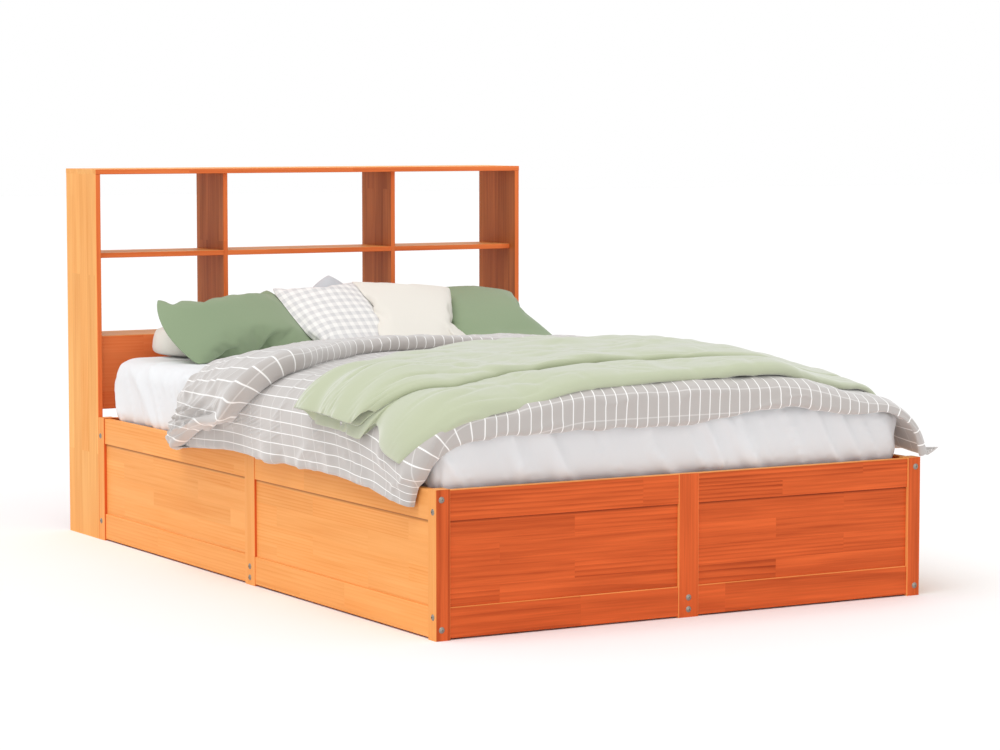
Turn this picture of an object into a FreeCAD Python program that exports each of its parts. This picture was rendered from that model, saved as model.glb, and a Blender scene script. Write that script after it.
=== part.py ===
import FreeCAD, Part
import math
import os

# A pine double bed: a panelled base on posts, a bookcase headboard behind it, a slatted
# support inside, and a mattress with its bedding.
# Frame: millimetres, origin on the floor under the middle of the whole bed, +X to the right
# for someone who stands at the foot, +Y from the foot to the head, +Z up.

V = FreeCAD.Vector

# Mattress, and the room that it has in the frame
mattress_width = 1400.0
mattress_length = 2000.0
mattress_height = 215.0
mattress_corner_round = 75.0
mattress_edge_round = 45.0
mattress_side_room = 1.0
mattress_sink = 37.0

# Base: posts, rails and panels
base_height = 365.0
post_side = 40.0
middle_post_width = 60.0
middle_post_proud = 2.0
rail_height = 75.0
rail_thickness = 20.0
rail_set_back = 4.0
rail_drop = 2.0
floor_gap = 4.0
panel_thickness = 9.0
panel_set_back = 5.0
panel_tongue = 8.0
groove_play = 0.2
tongue_play = 1.0
edge_round = 2.0

# Slatted support inside the base
slat_thickness = 18.0
slat_width = 70.0
slat_count = 15
slat_end_play = 2.0
slat_post_gap = 6.0
ledger_width = 22.0
ledger_height = 40.0
beam_width = 40.0
beam_height = 58.0
leg_width = 60.0
leg_depth = 40.0
leg_place_share = 0.25
stretcher_height = 75.0
stretcher_thickness = 20.0
lap_play = 0.2

# Bookcase headboard
headboard_depth = 232.0
headboard_height = 1100.0
board = 15.0
shelf_set_back = 35.0
divider_place = 288.0
middle_shelf_top = 851.0
lower_shelf_top = 604.0
panel_bottom = 385.0

# Fasteners: furniture bolts with barrel nuts, dowels, wood screws and angle brackets
bolt_radius = 3.0
bolt_play = 0.5
bolt_head_radius = 8.0
bolt_head_height = 3.5
bolt_inset = 16.0
bolt_offset = 15.0
bolt_past_nut = 8.0
hex_socket_radius = 2.3
hex_socket_depth = 2.0
stretcher_bolt_heights = (20.0, 50.0)
nut_radius = 5.0
nut_length = 14.0
nut_play = 0.2
nut_from_end = 25.0
frame_dowel_radius = 4.0
frame_dowel_in_post = 14.0
frame_dowel_in_rail = 25.0
board_dowel_radius = 3.0
board_dowel_in_face = 6.5
board_dowel_in_end = 20.0
dowel_play = 0.1
dowel_end_play = 0.5
screw_radius = 2.0
screw_head_radius = 4.0
screw_head_height = 3.0
screw_play = 0.15
long_screw = 32.0
short_screw = 11.0
ledger_screw_count = 6
bracket_post_leg = 24.0
bracket_board_leg = 30.0
bracket_width = 20.0
bracket_thickness = 2.0
bracket_heights = (120.0, 250.0)

# Bedding
soft_gap = 0.4
duvet_side_ease = 32.0
duvet_bend = 70.0
duvet_thickness = 48.0
duvet_drop = 138.0
duvet_head_room = 330.0
duvet_foot_inset = 3.0
duvet_foot_droop = 66.0
duvet_foot_roll = 74.0
duvet_foot_wall = 26.0
duvet_crown = 5.0
duvet_flap = 33.0
duvet_head_high = 46.0
duvet_head_round = 24.0
throw_gap = 0.5
throw_front_high = 33.0
throw_rear_high = 44.0
throw_crease_high = 22.0
throw_crown = 6.0
throw_edge = 15.0
throw_drop = 50.0
green_pillow_size = (420.0, 330.0, 110.0)
check_pillow_size = (320.0, 285.0, 88.0)
cream_pillow_size = (350.0, 290.0, 88.0)
pale_pillow_size = (300.0, 215.0, 56.0)
sleeping_pillow_size = (470.0, 185.0, 78.0)
green_left_across = -399.0
green_right_across = 504.0
check_across = -35.0
cream_across = 266.0
pale_across = 42.0
sleeping_across = -354.0
green_left_back_gap = 38.0
green_right_back_gap = 8.0
check_back_gap = 114.0
cream_back_gap = 151.0
pale_back_gap = 24.0
sleeping_back_gap = 4.0

# Places that follow from the sizes above
overrun = 1.0
rail_inner = rail_set_back + rail_thickness
bed_width = mattress_width + 2 * (mattress_side_room + rail_inner)
base_length = mattress_length + 2 * post_side
slat_top = base_height - mattress_sink
foot_y = (bolt_head_height - base_length - headboard_depth) / 2
head_y = foot_y + base_length
base_centre_y = foot_y + base_length / 2
back_y = head_y + headboard_depth
half_width = bed_width / 2
rail_middle = rail_set_back + rail_thickness / 2
middle_post_face = rail_set_back - middle_post_proud
top_rail_low = base_height - rail_drop - rail_height
bottom_rail_low = floor_gap
inner_half_width = half_width - rail_inner
slat_low = slat_top - slat_thickness
mattress_top = slat_top + soft_gap + mattress_height
mattress_foot_y = base_centre_y - mattress_length / 2

pieces = {}
holes = []


def block(low, high, long_axis=None):
    """A board between two corners, with the four edges along its grain eased."""
    shape = Part.makeBox(high[0] - low[0], high[1] - low[1], high[2] - low[2], V(*low))
    if long_axis is None:
        return shape
    along = [e for e in shape.Edges if abs(e.tangentAt(e.FirstParameter)[long_axis]) > 0.5]
    return shape.makeFillet(edge_round, along)


def cut_all(shape, tools):
    """The shape less every tool whose box reaches it."""
    near = [tool for tool in tools if tool.BoundBox.intersect(shape.BoundBox)]
    return shape.cut(near) if near else shape


# The four sides of the base are drawn alike: u runs along the side, v inwards from the posts'
# outer face. Each is then turned and moved to its place. Bays are named by their two ends.
sides = {
    "foot": (0, bed_width, V(0, foot_y, 0), {-1: "left", 1: "right"}),
    "head": (180, bed_width, V(0, head_y, 0), {-1: "right", 1: "left"}),
    "left": (-90, base_length, V(-half_width, base_centre_y, 0), {-1: "head", 1: "foot"}),
    "right": (90, base_length, V(half_width, base_centre_y, 0), {-1: "foot", 1: "head"}),
}


def to_side(shape, side):
    """A shape drawn in u, v and z, turned to its side of the base."""
    turn, _, place, _ = sides[side]
    moved = shape.copy()
    moved.rotate(V(0, 0, 0), V(0, 0, 1), turn)
    moved.translate(place)
    return moved


def turn_to(shape, start, direction):
    """A fastener drawn along +Z from its head, turned to point along a direction."""
    moved = shape.copy()
    moved.Placement = FreeCAD.Placement(V(*start), FreeCAD.Rotation(V(0, 0, 1), V(*direction)))
    return moved


def domed_bolt(length):
    """A furniture bolt: a low dome with a hexagon socket, and a plain shank along +Z."""
    dome_radius = (bolt_head_radius**2 + bolt_head_height**2) / (2 * bolt_head_height)
    ball = Part.makeSphere(dome_radius, V(0, 0, dome_radius - bolt_head_height))
    stub = Part.makeCylinder(bolt_head_radius, bolt_head_height, V(0, 0, -bolt_head_height))
    corners = [60 * i for i in range(7)]
    outline = [
        V(
            hex_socket_radius * math.cos(math.radians(a)),
            hex_socket_radius * math.sin(math.radians(a)),
            -bolt_head_height - overrun,
        )
        for a in corners
    ]
    socket = Part.Face(Part.makePolygon(outline)).extrude(V(0, 0, hex_socket_depth + overrun))
    shank = Part.makeCylinder(bolt_radius, length)
    return ball.common(stub).cut(socket).fuse(shank).removeSplitter()


def bolt_hole(length, sink):
    """The drilling for a bolt, with a counterbore where its head lies below the face."""
    hole = Part.makeCylinder(bolt_radius + bolt_play, length + overrun)
    if sink:
        depth = sink + overrun
        return hole.fuse(Part.makeCylinder(bolt_head_radius + bolt_play, depth, V(0, 0, -depth)))
    return hole


def barrel_nut(middle, axis, through):
    """A cross dowel along its own axis, drilled through for the bolt."""
    barrel = Part.makeCylinder(nut_radius, nut_length, middle - axis * (nut_length / 2), axis)
    reach = nut_radius + overrun
    drill = Part.makeCylinder(bolt_radius + bolt_play, 2 * reach, middle - through * reach, through)
    return barrel.cut(drill)


def nut_hole(middle, axis, open_end):
    """The cross drilling for a barrel nut, open on one face of the rail."""
    blind = nut_length / 2 + nut_play
    return Part.makeCylinder(nut_radius + nut_play, blind + open_end, middle - axis * blind, axis)


def dowel(radius, behind, ahead):
    return Part.makeCylinder(radius, behind + ahead, V(0, 0, -behind))


def wood_screw(length, play=0.0):
    """A countersunk screw along +Z from its head's flat; with play, the drilling for it."""
    cone = Part.makeCone(screw_head_radius + play, screw_radius + play, screw_head_height)
    shank = Part.makeCylinder(screw_radius + play, length + play)
    return cone.fuse(shank).removeSplitter()


bolts = []
nuts = []
dowels = []
screws = []


def add_dowel(side, start, direction, radius, behind, ahead):
    """A dowel across a joint, and its hole in the two pieces that meet there."""
    peg = turn_to(dowel(radius, behind, ahead), start, direction)
    hole = turn_to(
        dowel(radius + dowel_play, behind + dowel_end_play, ahead + dowel_end_play), start, direction
    )
    dowels.append(to_side(peg, side) if side else peg)
    holes.append(to_side(hole, side) if side else hole)


def add_bolt(side, start, direction, joint_depth, sink, nut_axis, nut_open_end):
    """A bolt through a post into the end of a rail, and the barrel nut that it pulls on."""
    through = V(*direction)
    seat = V(*start) + through * sink
    to_nut = joint_depth - sink + nut_from_end
    length = to_nut + bolt_past_nut
    nut_place = seat + through * to_nut
    bolts.append(to_side(turn_to(domed_bolt(length), seat, through), side))
    nuts.append(to_side(barrel_nut(nut_place, V(*nut_axis), through), side))
    holes.append(to_side(turn_to(bolt_hole(length, sink), seat, through), side))
    holes.append(to_side(nut_hole(nut_place, V(*nut_axis), nut_open_end), side))


def add_screw(side, start, direction, length):
    screw = turn_to(wood_screw(length), start, direction)
    hole = turn_to(wood_screw(length, screw_play), start, direction)
    screws.append(to_side(screw, side) if side else screw)
    holes.append(to_side(hole, side) if side else hole)


# Corner posts: square, standing on the floor, proud of the rails on both outer faces
for x_side, x_name in ((-1, "left"), (1, "right")):
    for y_name, y_low in (("foot", foot_y), ("head", head_y - post_side)):
        x_low = -half_width if x_side < 0 else half_width - post_side
        pieces[f"{y_name}_post_{x_name}"] = block(
            (x_low, y_low, 0), (x_low + post_side, y_low + post_side, base_height), 2
        )

# Each side: a middle post, and in each of its two bays a top rail, a bottom rail and a panel
# that sits in grooves of the rails and posts around it
for side, (_, run, _, bays) in sides.items():
    middle_half = middle_post_width / 2
    rail_top = base_height - rail_drop
    post = block((-middle_half, middle_post_face, 0), (middle_half, rail_inner, rail_top), 2)
    pieces[f"{side}_middle_post"] = to_side(post, side)
    for sign, bay in bays.items():
        ends = sorted((sign * middle_half, sign * (run / 2 - post_side)))
        across = side in ("foot", "head")
        for level, low in (("top", top_rail_low), ("bottom", bottom_rail_low)):
            rail = block((ends[0], rail_set_back, low), (ends[1], rail_inner, low + rail_height), 0)
            pieces[f"{side}_{level}_rail_{bay}"] = to_side(rail, side)
            centre = low + rail_height / 2
            outward = 1 if level == "top" else -1
            bolt_z = centre + bolt_offset * (-outward if across else outward)
            peg_z = centre - (bolt_z - centre)
            sink = bolt_head_height if bay == "head" else 0.0
            add_bolt(side, (sign * run / 2, bolt_inset, bolt_z), (-sign, 0, 0), post_side, sink,
                     (0, 1, 0), rail_inner - bolt_inset)
            add_dowel(side, (sign * (run / 2 - post_side), rail_middle, peg_z), (-sign, 0, 0),
                      frame_dowel_radius, frame_dowel_in_post, frame_dowel_in_rail)
            for z in (bolt_z, peg_z):
                add_dowel(side, (sign * middle_half, rail_middle, z), (sign, 0, 0),
                          frame_dowel_radius, frame_dowel_in_post, frame_dowel_in_rail)
        panel_low = bottom_rail_low + rail_height
        front = rail_set_back + panel_set_back
        reach = panel_tongue
        panel = block(
            (ends[0] - reach, front, panel_low - reach),
            (ends[1] + reach, front + panel_thickness, top_rail_low + reach),
        )
        pieces[f"{side}_panel_{bay}"] = to_side(panel, side)
        reach = panel_tongue + tongue_play
        groove = block(
            (ends[0] - reach, front - groove_play, panel_low - reach),
            (ends[1] + reach, front + panel_thickness + groove_play, top_rail_low + reach),
        )
        holes.append(to_side(groove, side))

# Low stretchers tie the middle posts across the bed and along it, halved over each other
stretcher_high = floor_gap + stretcher_height
stretcher_half = stretcher_thickness / 2
lap_z = floor_gap + stretcher_height / 2
lap_half = stretcher_half + lap_play
long_end = base_length / 2 - rail_inner
cross_end = half_width - rail_inner
long_stretcher = block(
    (-stretcher_half, base_centre_y - long_end, floor_gap),
    (stretcher_half, base_centre_y + long_end, stretcher_high), 1,
)
cross_stretcher = block(
    (-cross_end, base_centre_y - stretcher_half, floor_gap),
    (cross_end, base_centre_y + stretcher_half, stretcher_high), 0,
)
upper_notch = block(
    (-lap_half, base_centre_y - lap_half, lap_z),
    (lap_half, base_centre_y + lap_half, stretcher_high + overrun),
)
lower_notch = block(
    (-lap_half, base_centre_y - lap_half, floor_gap - overrun),
    (lap_half, base_centre_y + lap_half, lap_z),
)
pieces["long_stretcher"] = long_stretcher.cut(upper_notch)
pieces["cross_stretcher"] = cross_stretcher.cut(lower_notch)
for side in sides:
    for z in stretcher_bolt_heights:
        add_bolt(side, (0, middle_post_face, z), (0, 1, 0), rail_inner - middle_post_face, 0.0,
                 (1, 0, 0), stretcher_half)

# Ledgers screwed along the side rails, and a middle beam on two legs that straddle the stretcher
ledger_low = slat_low - ledger_height
ledger_screw_z = (top_rail_low + slat_low) / 2
ledger_half = base_length / 2 - post_side
ledgers = []
for side in ("left", "right"):
    ledger_face = rail_inner + ledger_width
    ledger = block((-ledger_half, rail_inner, ledger_low), (ledger_half, ledger_face, slat_low), 0)
    ledgers.append(to_side(ledger, side))
    for i in range(ledger_screw_count):
        u = ledger_half * (2 * i + 1 - ledger_screw_count) / ledger_screw_count
        add_screw(side, (u, ledger_face, ledger_screw_z), (0, -1, 0), long_screw)
beam_low = slat_low - beam_height
beam_half = beam_width / 2
pieces["centre_beam"] = block(
    (-beam_half, base_centre_y - long_end, beam_low), (beam_half, base_centre_y + long_end, slat_low), 1
)
for y, direction in ((base_centre_y - long_end, 1), (base_centre_y + long_end, -1)):
    for z in (beam_low + beam_height / 4, slat_low - beam_height / 4):
        add_dowel(None, (0, y, z), (0, direction, 0), frame_dowel_radius,
                  frame_dowel_in_post, frame_dowel_in_rail)
legs = []
for sign in (-1, 1):
    y = base_centre_y + sign * leg_place_share * base_length
    leg = block((-leg_width / 2, y - leg_depth / 2, 0), (leg_width / 2, y + leg_depth / 2, beam_low), 2)
    slot = block(
        (-lap_half, y - leg_depth, -overrun), (lap_half, y + leg_depth, stretcher_high)
    )
    legs.append(leg.cut(slot))
    add_dowel(None, (0, y, beam_low), (0, 0, 1), frame_dowel_radius,
              frame_dowel_in_rail, frame_dowel_in_rail)

# Slats: flat boards screwed down on the ledgers and carried in the middle by the beam
slat_half = inner_half_width - slat_end_play
first_slat = foot_y + post_side + slat_post_gap
slat_step = (base_length - 2 * post_side - 2 * slat_post_gap - slat_width) / (slat_count - 1)
screw_x = inner_half_width - ledger_width / 2
slats = []
for i in range(slat_count):
    y = first_slat + i * slat_step
    slats.append(block((-slat_half, y, slat_low), (slat_half, y + slat_width, slat_top), 0))
    for sign in (-1, 1):
        add_screw(None, (sign * screw_x, y + slat_width / 2, slat_top), (0, 0, -1), long_screw)

# Headboard: two sides on the floor, a top in two halves, dividers, shelves and a front panel
side_top = headboard_height - board
shelf_y = head_y + shelf_set_back
panel_back = shelf_y + board
shelf_end = half_width - board
divider_half = board / 2
for sign, name in ((-1, "left"), (1, "right")):
    x0, x1 = sorted((sign * half_width, sign * shelf_end))
    pieces[f"headboard_side_{name}"] = block((x0, head_y, 0), (x1, back_y, side_top), 2)
    x0, x1 = sorted((0.0, sign * half_width))
    pieces[f"headboard_top_{name}"] = block((x0, head_y, side_top), (x1, back_y, headboard_height), 0)
    x0 = sign * divider_place - divider_half
    pieces[f"headboard_divider_{name}"] = block(
        (x0, shelf_y, lower_shelf_top), (x0 + board, back_y, side_top), 2
    )
shelf_spans = {
    "left": (-shelf_end, -divider_place - divider_half),
    "centre": (-divider_place + divider_half, divider_place - divider_half),
    "right": (divider_place + divider_half, shelf_end),
}
for name, (x0, x1) in shelf_spans.items():
    pieces[f"headboard_shelf_{name}"] = block(
        (x0, shelf_y, middle_shelf_top - board), (x1, back_y, middle_shelf_top), 0
    )
pieces["headboard_lower_shelf"] = block(
    (-shelf_end, panel_back, lower_shelf_top - board), (shelf_end, back_y, lower_shelf_top), 0
)
pieces["headboard_panel"] = block(
    (-shelf_end, shelf_y, panel_bottom), (shelf_end, panel_back, lower_shelf_top), 0
)

# Board dowels: from a board's face into the end of the board that meets it
shelf_dowel_shares = (0.25, 0.75)
seam_dowel_shares = (0.15, 0.5, 0.85)
panel_end_dowel_shares = (0.15, 0.5, 0.8)
panel_shelf_dowel_shares = (0.2, 0.6)
shelf_dowel_ys = [panel_back + share * (back_y - panel_back) for share in shelf_dowel_shares]


def board_dowel(face_point, into_end):
    add_dowel(None, face_point, into_end, board_dowel_radius, board_dowel_in_face, board_dowel_in_end)


for sign in (-1, 1):
    side_x = sign * (half_width - board / 2)
    for y in shelf_dowel_ys:
        for x in (side_x, sign * divider_place):
            board_dowel((x, y, side_top), (0, 0, -1))
        board_dowel((sign * divider_place, y, lower_shelf_top), (0, 0, 1))
        for z in (middle_shelf_top - board / 2, lower_shelf_top - board / 2):
            board_dowel((sign * shelf_end, y, z), (-sign, 0, 0))
        for face in (-1, 1):
            x = sign * divider_place + face * divider_half
            board_dowel((x, y, middle_shelf_top - board / 2), (face, 0, 0))
    for share in panel_end_dowel_shares:
        z = panel_bottom + share * (lower_shelf_top - panel_bottom)
        board_dowel((sign * shelf_end, shelf_y + board / 2, z), (-sign, 0, 0))
    for share in panel_shelf_dowel_shares:
        board_dowel((sign * share * shelf_end, panel_back, lower_shelf_top - board / 2), (0, 1, 0))
for share in seam_dowel_shares:
    seam_point = (0, head_y + share * headboard_depth, headboard_height - board / 2)
    add_dowel(None, seam_point, (1, 0, 0), board_dowel_radius, board_dowel_in_end, board_dowel_in_end)

# Angle brackets hold the headboard's sides to the back of the head posts
brackets = []
for sign in (-1, 1):
    for z in bracket_heights:
        x_corner = sign * shelf_end
        low_z = z - bracket_width / 2
        high_z = z + bracket_width / 2
        x0, x1 = sorted((x_corner, x_corner - sign * bracket_post_leg))
        post_leg = block((x0, head_y, low_z), (x1, head_y + bracket_thickness, high_z))
        x0, x1 = sorted((x_corner, x_corner - sign * bracket_thickness))
        board_leg = block((x0, head_y, low_z), (x1, head_y + bracket_board_leg, high_z))
        brackets.append(post_leg.fuse(board_leg).removeSplitter())
        screw_at = x_corner - sign * (bracket_post_leg + bracket_thickness) / 2
        add_screw(None, (screw_at, head_y + bracket_thickness, z), (0, -1, 0), short_screw)
        screw_at = head_y + (bracket_board_leg + bracket_thickness) / 2
        add_screw(None, (x_corner - sign * bracket_thickness, screw_at, z), (sign, 0, 0), short_screw)

# Every wooden piece is drilled and grooved where fasteners and panels reach it
panel_names = [name for name in pieces if "_panel_" in name]
for name in pieces:
    if name not in panel_names:
        pieces[name] = cut_all(pieces[name], holes)
pieces["slat_ledgers"] = Part.makeCompound([cut_all(shape, holes) for shape in ledgers])
pieces["slats"] = Part.makeCompound([cut_all(shape, holes) for shape in slats])
pieces["centre_legs"] = Part.makeCompound([cut_all(shape, holes) for shape in legs])
pieces["angle_brackets"] = Part.makeCompound([cut_all(shape, holes) for shape in brackets])
pieces["bolts"] = Part.makeCompound(bolts)
pieces["barrel_nuts"] = Part.makeCompound(nuts)
pieces["dowels"] = Part.makeCompound(dowels)
pieces["wood_screws"] = Part.makeCompound(screws)
# The head end is out of sight, so its like pieces share nodes
for kind in ("top_rail", "bottom_rail", "panel"):
    pair = [pieces.pop(f"head_{kind}_{name}") for name in ("left", "right")]
    pieces[f"head_{kind}s"] = Part.makeCompound(pair)

# Mattress: a block with rounded corners and edges, lying on the slats between the rails
mattress = Part.makeBox(
    mattress_width, mattress_length, mattress_height,
    V(-mattress_width / 2, mattress_foot_y, slat_top + soft_gap),
)
upright = [e for e in mattress.Edges if abs(e.tangentAt(e.FirstParameter).z) > 0.5]
mattress = mattress.makeFillet(mattress_corner_round, upright)
level = [
    e for e in mattress.Edges
    if abs(e.BoundBox.ZMax - e.BoundBox.ZMin) < soft_gap
]
pieces["mattress"] = mattress.makeFillet(mattress_edge_round, level)

# The duvet and the throw both follow one line over the bed: up the left side, over the
# mattress and down the right side. A station on it is a place, the way that faces out, and
# how far along the rows of shares it lies.
line_half = mattress_width / 2 + duvet_side_ease
line_top = mattress_top + soft_gap
drop_shares = (1.0, 0.5)
bend_turns = (90.0, 75.0, 60.0, 45.0, 30.0, 15.0, 0.0)
flat_shares = (-0.5, 0.0, 0.5)


def bed_line(drop, lift):
    """Stations from the left hem to the right hem, lifted off the mattress by a gap."""
    bend_x = line_half - duvet_bend
    bend_z = line_top - duvet_bend
    radius = duvet_bend + lift
    left = [(V(-bend_x - radius, 0, bend_z - share * drop), 90.0, 1 - share) for share in drop_shares]
    for turn in bend_turns:
        angle = math.radians(turn)
        point = V(-bend_x - radius * math.sin(angle), 0, bend_z + radius * math.cos(angle))
        left.append((point, turn, 3 - turn / 45.0))
    flat = [(V(share * bend_x, 0, bend_z + radius), 0.0, 5 + 2 * share) for share in flat_shares]
    right = [(V(-point.x, 0, point.z), -turn, 10 - row) for point, turn, row in reversed(left)]
    stations = []
    for point, turn, row in left + flat + right:
        angle = math.radians(turn)
        stations.append((point, V(-math.sin(angle), 0, math.cos(angle)), row))
    return stations


def shares_at(rows, row):
    """The shares at a station, between the two rows that it lies between."""
    first = min(int(row), len(rows) - 2)
    return [a + (b - a) * (row - first) for a, b in zip(rows[first], rows[first + 1])]


def cloth_section(station, runs):
    """A closed outline at one station from (y, height) points; three points make an arc."""
    place, outward, _ = station
    edges = []
    for run in runs:
        ends = [V(place.x, foot_y + y, place.z) + outward * height for y, height in run]
        edges.append(Part.Arc(*ends).toShape() if len(ends) == 3 else Part.makeLine(*ends))
    return Part.Wire(edges)


# Duvet: it hangs over both sides, droops over the foot end and is turned back at the head.
# Rows of shares for the hem, the side's top, the bend, the bed's edge and three places over the
# bed, then back: thickness, droop at the foot, foot edge along the mattress, bare room left at
# the head, and fold line on the way from the foot edge to the head edge.
duvet_shares = (
    (0.55, 0.04, 0.050, 1.61, 0.935),
    (0.85, 0.08, 0.035, 1.36, 0.689),
    (0.95, 0.40, 0.014, 1.18, 0.589),
    (1.00, 1.00, 0.000, 1.06, 0.582),
    (1.05, 1.00, 0.000, 1.00, 0.647),
    (1.10, 1.00, 0.000, 1.00, 0.700),
    (1.05, 1.00, 0.000, 1.00, 0.725),
    (1.00, 1.00, 0.000, 1.00, 0.737),
    (0.95, 0.40, 0.010, 1.03, 0.746),
    (0.85, 0.08, 0.020, 1.08, 0.761),
    (0.55, 0.04, 0.030, 1.18, 0.787),
)
roll_side_share = 0.25
roll_rise_share = 0.72
flap_edge_shares = (0.15, 0.7, 0.6)
head_under_share = 0.6
duvet_sections = []
for station in bed_line(duvet_drop, 0.0):
    shares = shares_at(duvet_shares, station[2])
    thick = shares[0] * duvet_thickness
    droop = shares[1] * duvet_foot_droop
    foot = duvet_foot_inset + shares[2] * mattress_length
    head = duvet_foot_inset + mattress_length - shares[3] * duvet_head_room
    fold = foot + shares[4] * (head - foot)
    wall = foot + duvet_foot_wall
    rolled = foot + duvet_foot_roll
    roll_middle = (foot + roll_side_share * duvet_foot_roll, roll_rise_share * (thick + droop) - droop)
    flap, head_high, head_round = (shares[0] * size for size in (duvet_flap, duvet_head_high, duvet_head_round))
    flap_side, flap_rise, flap_top = (share * flap for share in flap_edge_shares)
    head_under = head_under_share * head_round
    flap_middle = ((fold + head) / 2, (thick + flap + head_high) / 2 + duvet_crown)
    duvet_sections.append(cloth_section(station, (
        ((foot, -droop), roll_middle, (rolled, thick)),
        ((rolled, thick), ((rolled + fold) / 2, thick + duvet_crown), (fold, thick)),
        ((fold, thick), (fold + flap_side, thick + flap_rise), (fold + flap_top, thick + flap)),
        ((fold + flap_top, thick + flap), flap_middle, (head - head_round, head_high)),
        ((head - head_round, head_high), (head, head_high / 2), (head - head_under, 0)),
        ((head - head_under, 0), (wall, 0)),
        ((wall, 0), (wall, -droop)),
        ((wall, -droop), (foot, -droop)),
    )))
pieces["duvet"] = Part.makeLoft(duvet_sections, True, True)

# Throw: a folded blanket across the foot of the bed, in two padded folds, the rear one on top,
# with a crease between them. Rows of shares as above: thickness, then front edge, crease and rear edge.
throw_shares = (
    (0.55, 0.050, 0.165, 0.325),
    (0.80, 0.048, 0.165, 0.330),
    (0.95, 0.044, 0.158, 0.340),
    (1.00, 0.042, 0.150, 0.350),
    (1.00, 0.042, 0.140, 0.370),
    (1.00, 0.042, 0.125, 0.390),
    (1.00, 0.042, 0.115, 0.405),
    (1.00, 0.042, 0.110, 0.415),
    (0.95, 0.044, 0.110, 0.412),
    (0.80, 0.048, 0.115, 0.390),
    (0.55, 0.050, 0.120, 0.370),
)
throw_lift = max(shares[0] for shares in duvet_shares) * duvet_thickness + duvet_crown + throw_gap
throw_under_share = 0.4
throw_sections = []
for station in bed_line(throw_drop, throw_lift):
    shares = shares_at(throw_shares, station[2])
    front_high, rear_high, crease_high, edge, crown = (
        shares[0] * size
        for size in (throw_front_high, throw_rear_high, throw_crease_high, throw_edge, throw_crown)
    )
    under = throw_under_share * edge
    front, crease, rear = (duvet_foot_inset + share * mattress_length for share in shares[1:])
    throw_sections.append(cloth_section(station, (
        ((front + under, 0), (front, front_high / 2), (front + edge, front_high)),
        ((front + edge, front_high), ((front + crease) / 2, front_high + crown), (crease, crease_high)),
        ((crease, crease_high), (crease + under / 2, (crease_high + rear_high) / 2), (crease + edge, rear_high)),
        ((crease + edge, rear_high), ((crease + rear) / 2, rear_high + crown), (rear - edge, rear_high)),
        ((rear - edge, rear_high), (rear, rear_high / 2), (rear - under, 0)),
        ((rear - under, 0), (front + under, 0)),
    )))
pieces["throw"] = Part.makeLoft(throw_sections, True, True)

# Pillows: crowned, with sides drawn in between the corners, leaning against each other and
# resting on the mattress. Shares from the middle of a pillow to its end, half a pillow each.
pillow_stations = ((0.0, 0.93, 1.0), (0.45, 0.945, 0.88), (0.8, 0.985, 0.48), (1.0, 1.0, 0.06))


def pillow(width, height, thickness):
    """A pillow lying flat: lens sections along its width, thin at both ends."""
    half = [(x * width / 2, y * height / 2, z * thickness / 2) for x, y, z in pillow_stations]
    sections = []
    for x, y, z in [(-x, y, z) for x, y, z in reversed(half[1:])] + half:
        low = V(x, -y, 0)
        high = V(x, y, 0)
        arcs = (Part.Arc(low, V(x, 0, z), high), Part.Arc(high, V(x, 0, -z), low))
        sections.append(Part.Wire([arc.toShape() for arc in arcs]))
    return Part.makeLoft(sections, True, False)


def place_pillow(shape, roll, lean, turn, across, back_gap):
    """Turn a pillow in its own plane, lean it back and set it down near the headboard."""
    for axis, angle in ((V(0, 0, 1), roll), (V(1, 0, 0), lean), (V(0, 0, 1), turn)):
        shape.rotate(V(0, 0, 0), axis, angle)
    box = shape.optimalBoundingBox(False, False)
    shape.translate(V(
        across, head_y - back_gap - box.YMax, mattress_top + soft_gap - box.ZMin
    ))
    return shape


# Each pillow: its turn in its own plane, its lean and its turn about the upright, in degrees
green_left = place_pillow(
    pillow(*green_pillow_size), 5, 36, 8, green_left_across, green_left_back_gap
)
green_right = place_pillow(
    pillow(*green_pillow_size), 3, 36, -4, green_right_across, green_right_back_gap
)
check = place_pillow(pillow(*check_pillow_size), -4, 42, 3, check_across, check_back_gap)
cream = place_pillow(pillow(*cream_pillow_size), 5, 42, -5, cream_across, cream_back_gap)
pale = place_pillow(pillow(*pale_pillow_size), 0, 74, 0, pale_across, pale_back_gap)
sleeping = place_pillow(
    pillow(*sleeping_pillow_size), 0, 0, 0, sleeping_across, sleeping_back_gap
)
pieces["green_pillow_left"] = green_left
pieces["green_pillow_right"] = green_right
pieces["check_pillow"] = check
pieces["cream_pillow"] = cream
pieces["back_pillows"] = Part.makeCompound([pale, sleeping])

os.makedirs("parts", exist_ok=True)
for name, shape in pieces.items():
    shape.exportStep(f"parts/{name}.step")
print(len(pieces), "nodes")
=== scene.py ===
import math

import bmesh
import bpy
import numpy as np
from mathutils import Euler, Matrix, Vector
from mathutils.bvhtree import BVHTree


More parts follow.
